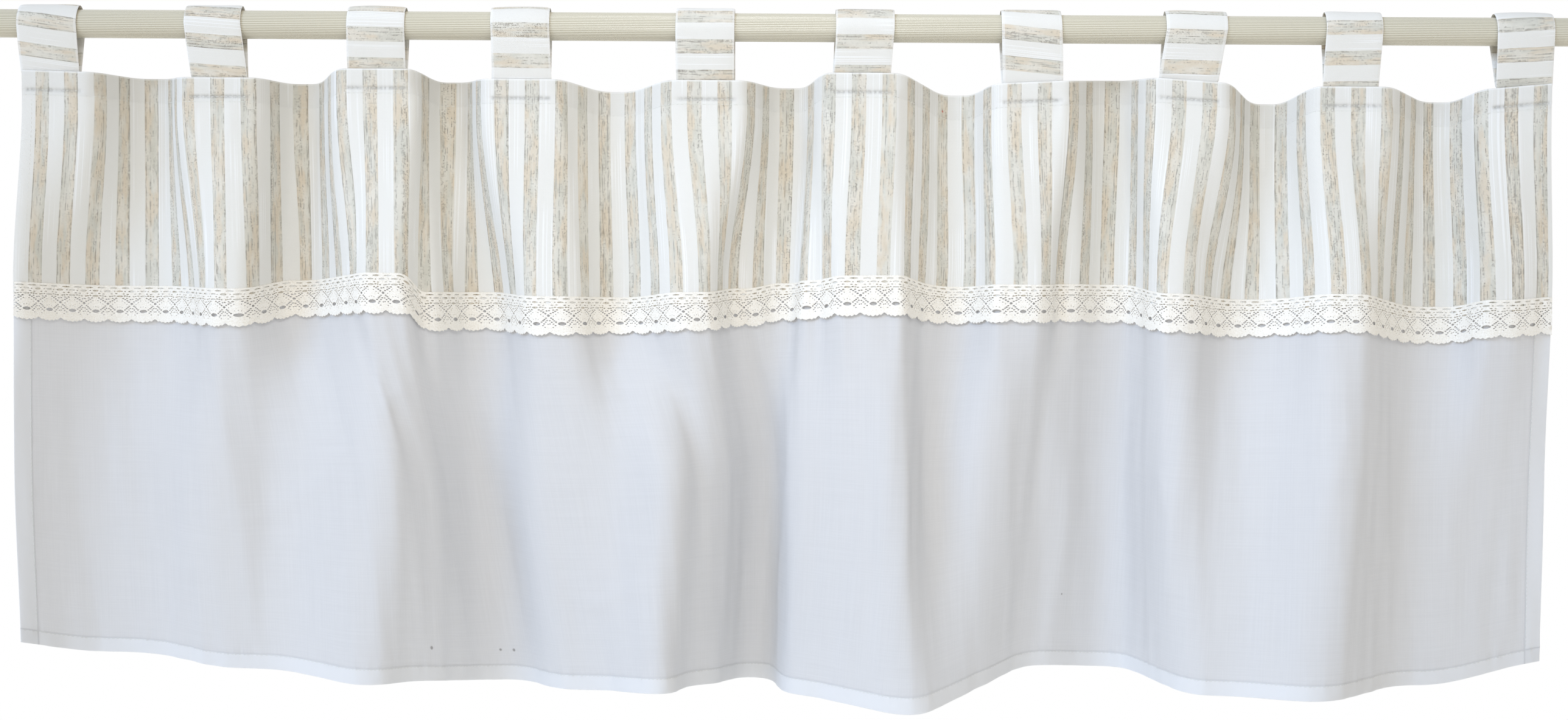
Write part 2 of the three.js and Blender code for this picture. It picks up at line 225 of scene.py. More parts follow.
def slideAlong(level, line):
    # the threads run straight down, but not always at the same place of a fold: how far they have slid
    along = clothAlong(line) / clothAlong(line)[-1] * curtain["clothWidth"]
    places, slides = [0], [0]
    for fold in folds:
        if fold[level + "X"] is None or fold[level + "Slide"] is None:
            continue
        half = curtain["seat"] / 2 if level == "head" and "tab" in fold["fold"] else 0
        for end in (-half, half) if half else (0,):
            place = np.interp(fold[level + "X"] + end, line[:, 0], along)
            if 1 < place < curtain["clothWidth"] - 1:
                places.append(place)
                slides.append(fold[level + "Slide"])
    return np.array(places + [curtain["clothWidth"]]), np.array(slides + [0])


headSlides = slideAlong("head", heading)
bandSlides = slideAlong("band", levels[2][1])
tabMiddles = [curtain["seat"] / 2 + curtain["pitch"] * k for k in range(10)]
tabMiddles = [middle + np.interp(middle, *headSlides) for middle in tabMiddles]


def hangCloth(alongs, drops):
    # the folds at every crossing of the grid: rows go down the cloth, columns across it
    placed = []
    for _, line in levels:
        along = clothAlong(line)
        at = alongs / curtain["clothWidth"] * along[-1]
        placed.append(np.stack([np.interp(at, along, line[:, axis]) for axis in range(3)], axis=1))
    levelDrops = [drop for drop, _ in levels]
    slopes = [
        (placed[i + 1] - placed[i]) / (levelDrops[i + 1] - levelDrops[i]) for i in range(len(levels) - 1)
    ]
    tangents = [slopes[0]]
    for before, after in zip(slopes, slopes[1:]):
        sameWay = before * after > 0
        total = np.where(sameWay, before + after, 1)
        tangents.append(np.where(sameWay, 2 * before * after / total, 0))
    tangents.append(slopes[-1])
    rows = []
    for drop in drops:
        i = min(max(np.searchsorted(levelDrops, drop) - 1, 0), len(levels) - 2)
        span = levelDrops[i + 1] - levelDrops[i]
        t = (drop - levelDrops[i]) / span
        row = (
            placed[i] * (1 - t * t * (3 - 2 * t))
            + placed[i + 1] * (t * t * (3 - 2 * t))
            + tangents[i] * (span * t * (1 - t) ** 2)
            + tangents[i + 1] * (span * t * t * (t - 1))
        )
        share = smooth((drop - curtain["headingHem"]) / (curtain["laceTop"] - curtain["headingHem"]))
        slid = alongs + mix(np.interp(alongs, *headSlides), np.interp(alongs, *bandSlides), share)
        at = np.interp(alongs, slid, alongs)
        rows.append(np.stack([np.interp(at, alongs, row[:, axis]) for axis in range(3)], axis=1))
    return np.array(rows)


def softened(grid):
    # below the lace each row is blurred across, its ends kept
    sigma = curtain["voileSoftness"] / curtain["acrossStep"]
    reach = int(3 * sigma)
    weights = np.exp(-((np.arange(-reach, reach + 1) / sigma) ** 2) / 2)
    weights /= weights.sum()
    rows = []
    for drop, row in zip(gridDrops, grid):
        before = 2 * row[:1] - row[reach:0:-1]
        after = 2 * row[-1:] - row[-2 : -reach - 2 : -1]
        longer = np.concatenate([before, row, after])
        soft = np.stack([np.convolve(longer[:, axis], weights, "valid") for axis in range(3)], axis=1)
        share = smooth((drop - curtain["softFrom"]) / (curtain["softBy"] - curtain["softFrom"]))
        rows.append(mix(row, soft, share))
    return np.array(rows)


def facing(grid):
    # unit normals of a grid of points, towards the front
    across = np.gradient(grid, axis=1)
    down = np.gradient(grid, axis=0)
    normal = np.cross(down, across)
    return normal / np.linalg.norm(normal, axis=2, keepdims=True)


# soft creases laid over the folds: where each starts and ends on the cloth, half widths, and heights
creaseColumns = "along drop alongEnd dropEnd width widthEnd height heightEnd".split()
creaseRows = [
    (205, 22, 196, 150, 5, 8, 1.6, 0.4),
    (386, 20, 372, 120, 4, 9, 1.4, 0.2),
    (530, 20, 546, 140, 5, 8, 1.3, 0.4),
    (850, 20, 846, 150, 5, 7, 1.6, 0.6),
    (700, 22, 690, 110, 5, 9, 1.2, 0.3),
    (1016, 20, 1004, 120, 5, 9, 1.5, 0.3),
    (1180, 22, 1192, 120, 5, 9, 1.3, 0.3),
    (1340, 22, 1330, 130, 5, 8, 1.4, 0.3),
    (1462, 20, 1470, 90, 4, 8, 1.2, 0.2),
    (60, 20, 66, 100, 5, 9, 1.1, 0.2),
    (357, 232, 271, 282, 8, 12, 1.0, 0.6),
    (250, 300, 208, 328, 8, 12, 1.1, 0.6),
    (513, 385, 560, 366, 9, 12, 1.2, 0.7),
    (1300, 250, 1270, 330, 7, 10, 0.9, 0.4),
    (760, 300, 742, 380, 6, 9, 0.9, 0.4),
    (1150, 290, 1176, 350, 7, 10, 0.8, 0.4),
]

ripples = {
    "seed": 7,
    "striped": 0.22,
    "sheer": 0.34,
    "waves": 26,
    "pucker": 0.2,
    "puckerReach": 5,
    "groove": 1.15,  # the tabs' seam is drawn in this far
    "grooveDrop": 13.8,
    "grooveReach": 1.3,
    "ridge": 0.35,  # the cloth swells again below it
    "ridgeDrop": 17.5,
    "ridgeReach": 2.4,
}


def creaseHeight(along, drop):
    total = np.zeros_like(along)
    for row in creaseRows:
        c = dict(zip(creaseColumns, row))
        share = (drop - c["drop"]) / (c["dropEnd"] - c["drop"])
        middle = mix(c["along"], c["alongEnd"], share)
        width = mix(c["width"], c["widthEnd"], np.clip(share, 0, 1))
        height = mix(c["height"], c["heightEnd"], np.clip(share, 0, 1))
        fade = smooth((share + 0.12) / 0.12) * smooth((1.25 - share) / 0.25)
        total += height * fade * np.exp(-(((along - middle) / width) ** 2))
    return total


def rippleHeight(along, drop):
    random = np.random.default_rng(ripples["seed"])
    total = np.zeros_like(along)
    for _ in range(ripples["waves"]):
        acrossWave, downWave = random.uniform(14, 90), random.uniform(90, 420)
        phase, lean = random.uniform(0, 2 * math.pi), random.choice([-1, 1])
        total += np.sin(2 * math.pi * (along / acrossWave + lean * drop / downWave) + phase)
    height = np.where(drop < curtain["stripedEnd"], ripples["striped"], ripples["sheer"])
    total *= height / math.sqrt(ripples["waves"] / 2)
    total *= smooth((drop - 10) / 40)
    for seam in (curtain["headingHem"], curtain["sheerTop"], curtain["sheerHem"]):
        pucker = np.zeros_like(along)
        for _ in range(9):
            wave, phase = random.uniform(5, 13), random.uniform(0, 2 * math.pi)
            pucker += np.sin(2 * math.pi * along / wave + phase)
        total += ripples["pucker"] / 2 * pucker * np.exp(-(((drop - seam) / ripples["puckerReach"]) ** 2))
    return total


def seamGroove(along, drop):
    total = np.zeros_like(along)
    for middle in tabMiddles:
        inside = smooth((curtain["seat"] / 2 + 1 - np.abs(along - middle)) / 3)
        dimple = 0.75 + 0.25 * np.sin(along * 2 * math.pi / 3.3) * np.sin(along / 5.7 + middle)
        groove = np.exp(-(((drop - ripples["grooveDrop"]) / ripples["grooveReach"]) ** 2))
        ridge = np.exp(-(((drop - ripples["ridgeDrop"]) / ripples["ridgeReach"]) ** 2))
        total -= ripples["groove"] * inside * dimple * groove
        total += ripples["ridge"] * inside * ridge
    return total


gridAlongs = np.arange(0, curtain["clothWidth"] + 0.1, curtain["acrossStep"])
gridDrops = np.concatenate([np.arange(0, 25, 0.8), np.linspace(25, curtain["hem"], 169)])
alongField, dropField = np.meshgrid(gridAlongs, gridDrops)
bareGrid = softened(hangCloth(gridAlongs, gridDrops))
relief = sum(rise(alongField, dropField) for rise in (creaseHeight, rippleHeight, seamGroove))
clothGrid = bareGrid + facing(bareGrid) * relief[..., None]
clothFacing = facing(clothGrid)
print("cloth hung on", len(folds), "folds")


def onCloth(along, drop, offset):
    # points in metres at places on the cloth, a given step towards the front
    along, drop, offset = (np.asarray(v, float) for v in (along, drop, offset))
    column = np.clip(along / curtain["acrossStep"], 0, len(gridAlongs) - 1.0001)
    row = np.clip(np.interp(drop, gridDrops, np.arange(len(gridDrops))), 0, len(gridDrops) - 1.0001)
    c, r = column.astype(int), row.astype(int)
    cs, rs = (column - c)[..., None], (row - r)[..., None]

    def sample(grid):
        upper = mix(grid[r, c], grid[r, c + 1], cs)
        lower = mix(grid[r + 1, c], grid[r + 1, c + 1], cs)
        return mix(upper, lower, rs)

    normal = sample(clothFacing)
    normal /= np.linalg.norm(normal, axis=-1, keepdims=True)
    return (sample(clothGrid) + normal * offset[..., None]) * mm


# Meshes


def newPiece(name, vertices, faces, places=None):
    # places: where each vertex lies on the flat cloth, in millimetres, kept as the piece's UV map
    mesh = bpy.data.meshes.new(name)
    mesh.from_pydata([tuple(v) for v in vertices], [], [tuple(f) for f in faces])
    if places is not None:
        layer = mesh.uv_layers.new(name="cloth")
        corner = np.zeros(len(mesh.loops), int)
        mesh.loops.foreach_get("vertex_index", corner)
        layer.data.foreach_set("uv", np.asarray(places, np.float32)[corner].ravel())
    mesh.polygons.foreach_set("use_smooth", [True] * len(mesh.polygons))
    mesh.validate()
    piece = bpy.data.objects.new(name, mesh)
    bpy.context.scene.collection.objects.link(piece)
    return piece


def gridPiece(name, points, places):
    rows, columns = points.shape[:2]
    corner = np.arange(rows * columns).reshape(rows, columns)
    faces = np.stack([corner[:-1, :-1], corner[1:, :-1], corner[1:, 1:], corner[:-1, 1:]], axis=-1)
    return newPiece(name, points.reshape(-1, 3), faces.reshape(-1, 4).tolist(), places.reshape(-1, 2))


def choose(piece):
    bpy.ops.object.select_all(action="DESELECT")
    piece.select_set(True)
    bpy.context.view_layer.objects.active = piece


def finishWith(piece, kind, **settings):
    choose(piece)
    modifier = piece.modifiers.new(kind.lower(), kind)
    for name, value in settings.items():
        setattr(modifier, name, value)
    bpy.ops.object.modifier_apply(modifier=modifier.name)


def smoothByAngle(piece, degrees):
    choose(piece)
    bpy.ops.object.shade_smooth_by_angle(angle=math.radians(degrees))


def flatPlaces(route):
    # how far along the flat cloth each point lies, counted so that the front face keeps its own places
    place, step = route.T
    flat = clothAlong(route)
    front = int(np.argmax(step == 0))
    return flat + place[front] - flat[front]


def clothSheet(name, across, down, thickness):
    # across and down list (place, step towards the front) along the sheet's two ways, turned hems included
    across, down = np.array(across, float), np.array(down, float)
    along, drop = np.meshgrid(across[:, 0], down[:, 0])
    points = onCloth(along, drop, across[:, 1][None, :] + down[:, 1][:, None])
    flatAcross, flatDown = flatPlaces(across), flatPlaces(down)
    piece = gridPiece(name, points, np.stack(np.meshgrid(flatAcross, flatDown), axis=-1))
    finishWith(piece, "SOLIDIFY", thickness=thickness * mm, offset=0, use_even_offset=False)
    smoothByAngle(piece, 50)
    size = (np.ptp(flatAcross) * mm, np.ptp(flatDown) * mm)
    print(name, "cut", round(size[0], 4), "by", round(size[1], 4), "m")
    return piece, size


def turnedHem(edge, way, width, plyGap, step):
    # places from a turned hem's raw edge, behind the cloth, round its fold to the front face
    radius = plyGap / 2
    behind = [(edge + way * w, -plyGap) for w in np.arange(width, radius, -step)]
    fold = [
        (edge + way * radius * (1 - math.sin(a)), -radius * (1 + math.cos(a)))
        for a in (math.pi * 0.25, math.pi * 0.5, math.pi * 0.75)
    ]
    return behind + fold


def acrossPlaces(panel):
    # a panel's places across the cloth, from one turned side hem to the other
    width = curtain["clothWidth"]
    left = turnedHem(0, 1, panel["sideTurn"], panel["plyGap"], 2.5)
    right = turnedHem(width, -1, panel["sideTurn"], panel["plyGap"], 2.5)
    return left + [(a, 0) for a in np.arange(1.5, width - 1, panel["acrossStep"])] + right[::-1]


print("mesh tools ready")


# Materials


class Wire:
    # an output socket of a material: sums on it add Math nodes
    def __init__(self, tree, socket=None):
        self.tree = tree
        self.socket = socket

    def node(self, kind, settings=None, inputs=None, output=0):
        made = self.tree.nodes.new("ShaderNode" + kind)
        for name, value in (settings or {}).items():
            if name == "stops":
                ramp = made.color_ramp
                for stop, (place, colour) in enumerate(value):
                    element = ramp.elements[stop] if stop < 2 else ramp.elements.new(place)
                    element.position, element.color = place, colour
            else:
                setattr(made, name, value)
        for name, value in (inputs or {}).items():
            if isinstance(value, Wire):
                self.tree.links.new(value.socket, made.inputs[name])
            else:
                made.inputs[name].default_value = value
        return Wire(self.tree, made.outputs[output])

    def maths(self, operation, first, second=0.0):
        return self.node("Math", {"operation": operation}, {0: first, 1: second})

    def __add__(self, other):
        return self.maths("ADD", self, other)

    def __radd__(self, other):
        return self.maths("ADD", other, self)

    def __sub__(self, other):
        return self.maths("SUBTRACT", self, other)

    def __rsub__(self, other):
        return self.maths("SUBTRACT", other, self)

    def __mul__(self, other):
        return self.maths("MULTIPLY", self, other)

    def __rmul__(self, other):
        return self.maths("MULTIPLY", other, self)

    def __truediv__(self, other):
        return self.maths("DIVIDE", self, other)

    def __mod__(self, other):
        return self.maths("FLOORED_MODULO", self, other)

    def alone(self, operation):
        return self.maths(operation, self)

    def step(self, low, high, bottom=0.0, top=1.0):
        # eased from bottom to top while this value goes from low to high
        settings = {"interpolation_type": "SMOOTHSTEP"}
        return self.node("MapRange", settings, {0: self, 1: low, 2: high, 3: bottom, 4: top})

    def blend(self, first, second):
        # from the first colour to the second as this value goes from 0 to 1
        return self.node("Mix", {"data_type": "RGBA"}, {0: self, 6: first, 7: second}, output=2)


def tint(red, green, blue):
    # a colour as seen on screen, 0 to 255, for a socket
    shares = [v / 255 for v in (red, green, blue)]
    return (*(v / 12.92 if v <= 0.04 else ((v + 0.055) / 1.055) ** 2.4 for v in shares), 1.0)


def newMaterial(name, constants):
    material = bpy.data.materials.new(name)
    material.use_nodes = True
    shader = material.node_tree.nodes["Principled BSDF"]
    for socket, value in constants.items():
        shader.inputs[socket].default_value = value
    return material, Wire(material.node_tree), shader


def plug(wire, shader, socket):
    wire.tree.links.new(wire.socket, shader.inputs[socket])


def emboss(height, shader, strength, distance):
    inputs = {"Strength": strength, "Distance": distance, "Height": height}
    plug(height.node("Bump", inputs=inputs), shader, "Normal")


def endInMix(start, shader, share, other):
    # the material ends in a mix of its own shader and another one
    own = Wire(start.tree, shader.outputs[0])
    joined = start.node("MixShader", inputs={0: share, 1: own, 2: other})
    ending = next(node for node in start.tree.nodes if node.type == "OUTPUT_MATERIAL")
    start.tree.links.new(joined.socket, ending.inputs[0])


def flatCloth(start):
    # places on the flat cloth in millimetres
    place = start.node("UVMap", {"uv_map": "cloth"})
    return [place.node("SeparateXYZ", inputs={0: place}, output=i) for i in range(2)]


def plainWeave(across, down, thread):
    # one thread up, one down: the numbers of the threads, which of them is over, and how high it stands
    warp, weft = across / thread, down / thread
    warpNumber, weftNumber = warp.alone("FLOOR"), weft.alone("FLOOR")
    over = (warpNumber + weftNumber) % 2.0
    threads, picks = (((way % 1.0) - 0.5) * math.tau for way in (warp, weft))
    return warpNumber, weftNumber, over, threads.alone("COSINE") * over + picks.alone("COSINE") * (1 - over)


def cloudAt(across, down, acrossSize, downSize, detail=2.0, seed=0.0):
    # soft noise from 0 to 1 whose blots are as long each way as asked
    spot = across.node("CombineXYZ", inputs={0: across / acrossSize, 1: down / downSize, 2: seed})
    return across.node("TexNoise", inputs={"Vector": spot, "Scale": 1.0, "Detail": detail, "Roughness": 0.55})


linen = {
    "bandPitch": 22.4,
    "bandMiddle": 16.0,
    "bandHalf": 5.3,
    "thread": 0.58,
    "white": tint(234, 232, 226),
    # also the colour of the painted highlights on the heading's top edge and the tabs' side edges
    "whiteRibAndHighlight": tint(241, 240, 237),
    "warm": tint(223, 211, 191),
    "grey": tint(214, 211, 199),
    "pale": tint(231, 227, 216),
    "fleck": tint(94, 82, 68),
    # painted shade for the tabs' seam creases and the heading hem, also the darker threads of the weave
    "paintedShadeAndWeave": tint(150, 148, 142),
    "creaseReach": 2.6,
    "slub": tint(190, 120, 105),
    "slubPlace": (912, 12.5, 1.1),
    "rough": 0.92,
    "sheen": 0.1,
}


def spotAt(across, down, place):
    # 1 within a round mark at a place of the flat cloth, 0 outside it
    x, y, radius = place
    reach = (across - x) * (across - x) + (down - y) * (down - y)
    return reach.step(radius * radius, 0.2 * radius * radius)


def linenMaterial():
    material, start, shader = newMaterial(
        "striped_linen",
        {"Roughness": linen["rough"], "Sheen Weight": linen["sheen"], "Specular IOR Level": 0.2},
    )
    across, down = flatCloth(start)
    half = linen["bandPitch"] / 2
    wander = cloudAt(across, down, 40, 22, 3.0) - 0.5
    fromMiddle = ((across - linen["bandMiddle"] + half) % linen["bandPitch"]) - half
    fromMiddle = fromMiddle + wander * 0.9
    distance = fromMiddle.alone("ABSOLUTE")
    band = distance.step(linen["bandHalf"] + 0.3, linen["bandHalf"] - 0.3)
    warpNumber, weftNumber, over, height = plainWeave(across, down, linen["thread"])
    yarn = across.node("TexWhiteNoise", {"noise_dimensions": "1D"}, {"W": warpNumber})
    slub = cloudAt(warpNumber * 7.3, down, 1.0, 9.0, 4.0)  # runs along one warp yarn
    crossSlub = cloudAt(across, weftNumber * 5.1, 7.0, 1.0, 2.0, 4.0)
    zone = cloudAt(across, down, 8, 40, 3.0, 9.0)
    paleZone = cloudAt(across, down, 9, 28, 4.0, 13.0)
    flaxBase = zone.step(0.42, 0.58).blend(linen["warm"], linen["grey"])
    flaxBase = (paleZone.step(0.42, 0.62) * 0.7).blend(flaxBase, linen["pale"])
    edgeYarns = distance.step(linen["bandHalf"] - 1.8, linen["bandHalf"] - 0.5) * 0.04
    crossing = across.node("CombineXYZ", inputs={0: warpNumber, 1: weftNumber})
    knot = across.node("TexWhiteNoise", {"noise_dimensions": "2D"}, {"Vector": crossing})
    fleckChance = slub * 0.62 + yarn * 0.16 + knot * 0.12 + edgeYarns + crossSlub * 0.14
    flecks = fleckChance.step(0.53, 0.69) * (over * 0.75 + 0.25)
    speckle = over * (knot * 0.10 + 0.06)  # the gaps of the weave
    flaxColour = (flecks * 0.8 + speckle).blend(flaxBase, linen["fleck"])
    ribs = (yarn.step(0.72, 0.8)) * (cloudAt(across, down, 26, 90, 1.0, 2.0).step(0.45, 0.6))
    weave = (over * 0.05 + knot * 0.03).blend(linen["white"], linen["paintedShadeAndWeave"])
    whiteColour = ribs.blend(weave, linen["whiteRibAndHighlight"])
    colour = band.blend(whiteColour, flaxColour)
    # painted shade: the crease of each tab's seam is darkened in patches, and the heading hem a little, in
    # the colour
    underTab = 0.0
    for middle in tabMiddles:
        fromTab = (across - middle).alone("ABSOLUTE")
        underTab = fromTab.step(curtain["seat"] / 2 + 0.5, curtain["seat"] / 2 - 2.5) + underTab
    fromSeam = (down - ripples["grooveDrop"]).alone("ABSOLUTE")
    patchy = cloudAt(across, down, 2.6, 8, 2.0, 21.0).step(0.35, 0.6, 0.35, 1.0)
    paintedSeamShade = fromSeam.step(linen["creaseReach"], 0.0) * underTab * patchy * 0.5
    aboveHem = down.step(curtain["headingHem"] + 0.6, curtain["headingHem"] - 0.4)
    hemShade = aboveHem * down.step(-1.0, 1.0) * 0.07
    colour = (paintedSeamShade + hemShade).blend(colour, linen["paintedShadeAndWeave"])
    # painted highlight: a light strip along each tab's folded side edges
    lane = tabs["laneWidth"]
    onTab = down.step(tabs["firstLane"] - 100, tabs["firstLane"] - 99)
    fromTabMiddle = ((down - (tabs["firstLane"] - lane / 2)) % lane) - lane / 2
    paintedTabEdgeHighlight = fromTabMiddle.alone("ABSOLUTE").step(19.6, 20.4) * onTab
    # painted highlight: a thin light line along the heading's top edge
    paintedTopHighlight = down.step(1.3, 0.5) * 0.6
    colour = (paintedTabEdgeHighlight * 0.45 + paintedTopHighlight).blend(colour, linen["whiteRibAndHighlight"])
    plug(spotAt(across, down, linen["slubPlace"]).blend(colour, linen["slub"]), shader, "Base Color")
    height = height * 0.5 + ribs * 1.4 + flecks * band * 0.9 + slub * band * 0.7
    emboss(height, shader, 0.5, 0.00022)
    return material


voile = {
    "colour": tint(234, 234, 235),
    "cloud": tint(228, 228, 229),
    "hem": tint(253, 253, 253),
    # painted shade along the hems' sewn lines
    "seam": tint(190, 190, 192),
    "through": tint(241, 240, 239),  # the light that comes through it
    "throughShare": 0.36,
    "spot": tint(150, 148, 148),
    "spots": [(351, 420, 1.7), (417.5, 422.5, 1.2), (427.5, 422.5, 1.4), (1041, 390, 0.9)],
    "thread": 0.34,
    "sideHem": (14.4, 13.6),  # from the side edges, where its sewn edge fades out and in
    "bottomHem": (12.0, 11.2),
    "alpha": 0.88,
    "rough": 0.85,
}


def voileMaterial():
    material, start, shader = newMaterial(
        "white_voile", {"Roughness": voile["rough"], "Sheen Weight": 0.1, "Specular IOR Level": 0.25}
    )
    across, down = flatCloth(start)
    streak = cloudAt(across, down, 1.1, 70, 3.0) * 0.55 + cloudAt(across, down, 60, 0.9, 2.0, 5.0) * 0.45
    colour = streak.step(0.35, 0.65).blend(voile["colour"], voile["cloud"])
    half, hemDrop = curtain["clothWidth"] / 2, curtain["hem"]
    sideOut, sideIn = (half - edge for edge in voile["sideHem"])
    bottomOut, bottomIn = (hemDrop - edge for edge in voile["bottomHem"])
    fromSide = (across - half).alone("ABSOLUTE")
    sideHem = fromSide.step(sideOut, sideIn)
    hem = sideHem.maths("MAXIMUM", sideHem, down.step(bottomOut, bottomIn))
    colour = hem.blend(colour, voile["hem"])
    # painted shade: a thin darker line along the sewn inner edges of the side and bottom hems
    seamShadeAcross = (fromSide - sideIn).alone("ABSOLUTE").step(0.9, 0.2)
    seamShadeDown = (down - bottomIn).alone("ABSOLUTE").step(0.9, 0.2)
    colour = (seamShadeAcross.maths("MAXIMUM", seamShadeAcross, seamShadeDown) * 0.4).blend(colour, voile["seam"])
    for place in voile["spots"]:
        colour = spotAt(across, down, place).blend(colour, voile["spot"])
    plug(colour, shader, "Base Color")
    plug(hem * (1 - voile["alpha"]) + voile["alpha"], shader, "Alpha")
    height = plainWeave(across, down, voile["thread"])[3] + streak * 1.5
    emboss(height, shader, 0.35, 0.00012)
    through = start.node("BsdfTranslucent", inputs={"Color": voile["through"]})
    endInMix(start, shader, voile["throughShare"], through)
    return material


laceThread = {
    "colour": tint(248, 244, 236),
    "shade": tint(230, 223, 209),
    "rough": 0.93,
}


def laceMaterial():
    material, start, shader = newMaterial(
        "cotton_lace", {"Roughness": laceThread["rough"], "Sheen Weight": 0.2, "Specular IOR Level": 0.2}
    )
    across, down = flatCloth(start)
    slant = cloudAt(across + down, across - down, 0.5, 2.4, 3.0)
    fill = cloudAt(across - down, across + down, 0.5, 2.2, 3.0, 6.0)
    twist = slant * 0.5 + fill * 0.5
    plug(twist.step(0.36, 0.58).blend(laceThread["shade"], laceThread["colour"]), shader, "Base Color")
    emboss(twist, shader, 0.9, 0.0005)
    return material


rodPaint = {
    "colour": tint(213, 207, 188),
    # painted shade in the bottoms of the flutes
    "groove": tint(172, 164, 141),
    "rough": 0.26,
}


def rodMaterial():
    material, start, shader = newMaterial(
        "ivory_paint", {"Coat Weight": 0.25, "Coat Roughness": 0.2, "Specular IOR Level": 0.5}
    )
    place = start.node("TexCoord", output=3)
    y, z = (place.node("SeparateXYZ", inputs={0: place}, output=i) for i in (1, 2))
    radius = (y * y + z * z).alone("SQRT")
    # painted shade: the paint darkens towards the bottom of each flute
    depth = (radius / mm).step(rod["radius"] - rod["fluteDepth"], rod["radius"] - 0.03)
    dust = place.node("TexNoise", inputs={"Vector": place, "Scale": 60.0, "Detail": 4.0})
    plug(depth.blend(rodPaint["groove"], rodPaint["colour"]), shader, "Base Color")
    plug(dust * 0.16 + (rodPaint["rough"] - 0.08), shader, "Roughness")
    emboss(dust, shader, 0.08, 0.0002)
    return material


sewingThread = {"colour": tint(238, 238, 234), "shade": tint(222, 221, 214)}


def threadMaterial():
    material, start, shader = newMaterial("sewing_thread", {"Roughness": 0.7, "Sheen Weight": 0.2})
    place = start.node("TexCoord", output=3)
    twist = place.node("TexNoise", inputs={"Vector": place, "Scale": 2600.0, "Detail": 1.0})
    plug(twist.step(0.3, 0.7).blend(sewingThread["shade"], sewingThread["colour"]), shader, "Base Color")
    emboss(twist, shader, 0.3, 0.0001)
    return material


# The rod

rod = {"radius": 10.35, "length": 1250, "flutes": 48, "fluteDepth": 0.3, "wall": 1.1}


def makeRod():
    bpy.ops.object.select_all(action="DESELECT")
    bpy.ops.mesh.primitive_cylinder_add(
        vertices=rod["flutes"] * 3,
        radius=rod["radius"] * mm,
        depth=rod["length"] * mm,
        end_fill_type="NOTHING",
        rotation=(0, math.pi / 2, 0),
    )
    tube = bpy.context.object
    tube.name = tube.data.name = "rod_tube"
    bpy.ops.object.transform_apply(location=True, rotation=True, scale=True)
    bpy.ops.object.mode_set(mode="EDIT")
    bpy.ops.mesh.select_all(action="DESELECT")
    shape = bmesh.from_edit_mesh(tube.data)
    for vertex in shape.verts:
        turn = math.atan2(vertex.co.z, vertex.co.y) / (2 * math.pi) * rod["flutes"] * 3
        vertex.select_set(round(turn) % 3 == 0)
    bmesh.update_edit_mesh(tube.data)
    shrink = 1 - rod["fluteDepth"] / rod["radius"]
    bpy.ops.transform.resize(value=(1, shrink, shrink), center_override=(0, 0, 0))
    bpy.ops.object.mode_set(mode="OBJECT")
    finishWith(tube, "SOLIDIFY", thickness=rod["wall"] * mm, offset=-1, use_rim=True)
    smoothByAngle(tube, 40)
    tube.data.materials.clear()
    tube.data.materials.append(rodMaterial())
    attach(tube, "root")
    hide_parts("rod")
    return tube


# Stitches

stitch = {"length": 2.3, "gap": 1.0, "radius": 0.17, "sides": 5}


def stitchRow(vertices, faces, route, lift):
    # small stitches laid end to end along a route of (place, drop) pairs on the cloth
    route = np.array(route, float)
    lengths = clothAlong(route)
    pitch = stitch["length"] + stitch["gap"]
    for number in range(int(lengths[-1] / pitch)):
        shares = np.array([0, 0.12, 0.5, 0.88, 1]) * stitch["length"] + number * pitch
        spots = np.stack([np.interp(shares, lengths, route[:, axis]) for axis in range(2)], axis=1)
        rise = lift + np.array([-0.22, 0.02, 0.12, 0.02, -0.22])
        line = onCloth(spots[:, 0], spots[:, 1], rise)
        outward = onCloth(spots[:, 0], spots[:, 1], rise + 1) - line
        outward /= np.linalg.norm(outward, axis=1, keepdims=True)
        ahead = line[-1] - line[0]
        ahead /= np.linalg.norm(ahead)
        beside = np.cross(ahead, outward)
        first = len(vertices)
        for point, side, up, size in zip(line[1:4], beside[1:4], outward[1:4], (0.8, 1.0, 0.8)):
            for k in range(stitch["sides"]):
                a = 2 * math.pi * k / stitch["sides"]
                out = side * math.cos(a) + up * math.sin(a)
                vertices.append(point + out * stitch["radius"] * size * mm)
        tip = len(vertices)
        vertices.extend([line[0], line[-1]])
        n = stitch["sides"]
        for k in range(n):
            after = (k + 1) % n
            for ring in range(2):
                a, b = first + ring * n + k, first + ring * n + after
                faces.append((a, a + n, b + n, b))
            faces.append((tip, first + k, first + after))
            faces.append((tip + 1, first + 2 * n + after, first + 2 * n + k))


def makeStitches(name, rows):
    vertices, faces = [], []
    for route, lift in rows:
        stitchRow(vertices, faces, route, lift)
    piece = newPiece(name, vertices, faces)
    piece.data.materials.append(thread)
    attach(piece, "root")
    return piece


# The striped panel

stripedPanel = {
    "thickness": 0.5,
    "plyGap": 0.9,
    "headingTurn": 18,
    "sideTurn": 9,
    "acrossStep": 3,
}


